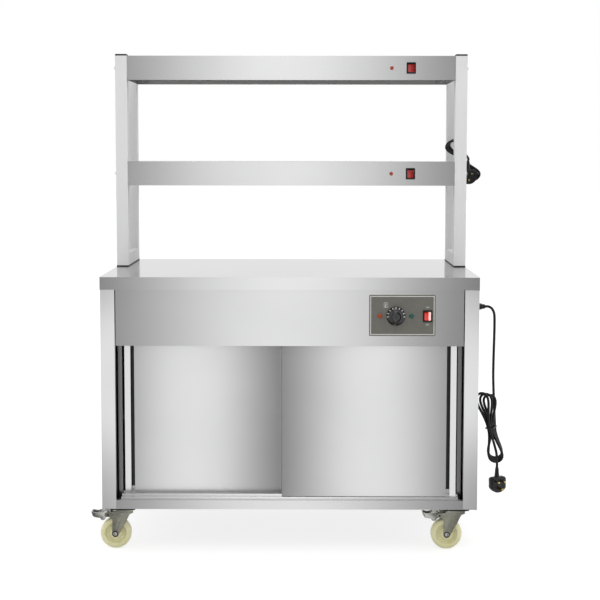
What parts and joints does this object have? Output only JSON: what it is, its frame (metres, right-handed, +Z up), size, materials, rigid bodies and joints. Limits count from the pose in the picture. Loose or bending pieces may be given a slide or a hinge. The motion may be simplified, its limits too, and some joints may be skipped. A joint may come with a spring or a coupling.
{
  "type": "plate warmer cabinet",
  "caption": "Stainless steel hot cupboard for plates on castors, with sliding doors and a heated gantry of two shelves over its worktop.",
  "frame": {"origin": "on the floor under the centre of the worktop", "axes": "+Z up, -Y towards the doors and controls, +X to the right when facing the doors"},
  "size_m": [1.3358, 0.727, 1.611],
  "materials": {
    "brushed_steel": "brushed",
    "liner_steel": "matte brushed",
    "element_steel": "matte",
    "bright_reflector": "bright",
    "zinc_steel": "zinc plated",
    "bright_zinc": "bright zinc",
    "nylon_cream": "satin",
    "nylon_white": "satin",
    "panel_grey": "satin",
    "black_plastic": "satin",
    "black_pvc": "satin",
    "brass_pins": "bright nickel",
    "amber_lens": "gloss",
    "green_lens": "gloss",
    "red_rocker": "gloss",
    "quartz_glass": "clear"
  },
  "bodies": {
    "cabinet": {"worktop": "brushed_steel", "side_panel_left": "brushed_steel", "side_panel_right": "brushed_steel", "back_panel": "brushed_steel", "front_fascia": "brushed_steel", "base_pan": "brushed_steel", "door_sill": "brushed_steel", "door_track": "brushed_steel", "liner_left": "liner_steel", "liner_right": "liner_steel", "control_box": "liner_steel", "middle_shelf": "brushed_steel", "shelf_runners": "liner_steel", "heater_element": "element_steel", "heater_cover": "brushed_steel", "control_panel": "panel_grey", "thermostat_body": "element_steel", "heat_lamp": "amber_lens", "power_lamp": "green_lens", "switch_frame": "black_plastic", "cord_glands": "black_plastic", "power_lead": "black_pvc", "power_hank": "black_pvc", "power_tail": "black_pvc", "cord_ties": "black_plastic", "plug_body": "black_pvc", "plug_pins": "brass_pins", "gantry_lead": "black_pvc", "gantry_hank": "black_pvc", "gantry_plug": "black_pvc", "gantry_frame_left": "brushed_steel", "gantry_frame_right": "brushed_steel", "tube_caps": "black_plastic", "foot_pads": "black_plastic", "shelf_top": "brushed_steel", "shelf_lower": "brushed_steel", "shelf_reflectors": "bright_reflector", "shelf_heaters": "quartz_glass", "gantry_lamps": "amber_lens", "gantry_switch_frames": "black_plastic", "gantry_bolts": "bright_zinc", "castor_plates": "zinc_steel"},
    "door_front": {"door_front": "brushed_steel", "door_front_shoes": "nylon_white"},
    "door_rear": {"door_rear": "brushed_steel", "door_rear_shoes": "nylon_white"},
    "knob": {"thermostat_knob": "black_plastic"},
    "rocker": {"switch_rocker": "red_rocker"},
    "rocker_top": {"gantry_rocker_top": "red_rocker"},
    "rocker_lower": {"gantry_rocker_lower": "red_rocker"},
    "castor_fl": {"castor_fork_fl": "zinc_steel"},
    "wheel_fl": {"castor_wheel_fl": "nylon_cream"},
    "castor_fr": {"castor_fork_fr": "zinc_steel"},
    "wheel_fr": {"castor_wheel_fr": "nylon_cream"},
    "castor_rl": {"castor_fork_rl": "zinc_steel"},
    "wheel_rl": {"castor_wheel_rl": "nylon_cream"},
    "castor_rr": {"castor_fork_rr": "zinc_steel"},
    "wheel_rr": {"castor_wheel_rr": "nylon_cream"},
    "brake_left": {"castor_brake_left": "bright_zinc"},
    "brake_right": {"castor_brake_right": "bright_zinc"}
  },
  "joints": [
    {"name": "door_front_slide", "type": "slide", "parent": "cabinet", "child": "door_front", "axis": [-1, 0, 0], "range_m": [0, 0.485]},
    {"name": "door_rear_slide", "type": "slide", "parent": "cabinet", "child": "door_rear", "axis": [1, 0, 0], "range_m": [0, 0.485]},
    {"name": "thermostat_turn", "type": "hinge", "parent": "cabinet", "child": "knob", "pos_m": [0.335, -0.36, 0.763], "axis": [0, -1, 0], "range_deg": [0, 280]},
    {"name": "power_switch", "type": "hinge", "parent": "cabinet", "child": "rocker", "pos_m": [0.435, -0.3442, 0.763], "axis": [-1, 0, 0], "range_deg": [0, 16]},
    {"name": "top_shelf_switch", "type": "hinge", "parent": "cabinet", "child": "rocker_top", "pos_m": [0.4083, 0.035, 1.564], "axis": [-1, 0, 0], "range_deg": [0, 16]},
    {"name": "lower_shelf_switch", "type": "hinge", "parent": "cabinet", "child": "rocker_lower", "pos_m": [0.4083, 0.035, 1.205], "axis": [-1, 0, 0], "range_deg": [0, 16]},
    {"name": "swivel_fl", "type": "hinge", "parent": "cabinet", "child": "castor_fl", "pos_m": [-0.534, -0.293, 0.13], "axis": [0, 0, 1], "continuous": true},
    {"name": "spin_fl", "type": "hinge", "parent": "castor_fl", "child": "wheel_fl", "pos_m": [-0.562, -0.293, 0.05], "axis": [0, 1, 0], "continuous": true},
    {"name": "swivel_fr", "type": "hinge", "parent": "cabinet", "child": "castor_fr", "pos_m": [0.534, -0.293, 0.13], "axis": [0, 0, 1], "continuous": true},
    {"name": "spin_fr", "type": "hinge", "parent": "castor_fr", "child": "wheel_fr", "pos_m": [0.506, -0.293, 0.05], "axis": [0, 1, 0], "continuous": true},
    {"name": "swivel_rl", "type": "hinge", "parent": "cabinet", "child": "castor_rl", "pos_m": [-0.534, 0.293, 0.13], "axis": [0, 0, 1], "continuous": true},
    {"name": "spin_rl", "type": "hinge", "parent": "castor_rl", "child": "wheel_rl", "pos_m": [-0.562, 0.293, 0.05], "axis": [0, 1, 0], "continuous": true},
    {"name": "swivel_rr", "type": "hinge", "parent": "cabinet", "child": "castor_rr", "pos_m": [0.534, 0.293, 0.13], "axis": [0, 0, 1], "continuous": true},
    {"name": "spin_rr", "type": "hinge", "parent": "castor_rr", "child": "wheel_rr", "pos_m": [0.506, 0.293, 0.05], "axis": [0, 1, 0], "continuous": true},
    {"name": "brake_left", "type": "hinge", "parent": "castor_fl", "child": "brake_left", "pos_m": [-0.585, -0.293, 0.112], "axis": [0, -1, 0], "range_deg": [0, 15]},
    {"name": "brake_right", "type": "hinge", "parent": "castor_fr", "child": "brake_right", "pos_m": [0.483, -0.293, 0.112], "axis": [0, -1, 0], "range_deg": [0, 15]}
  ]
}
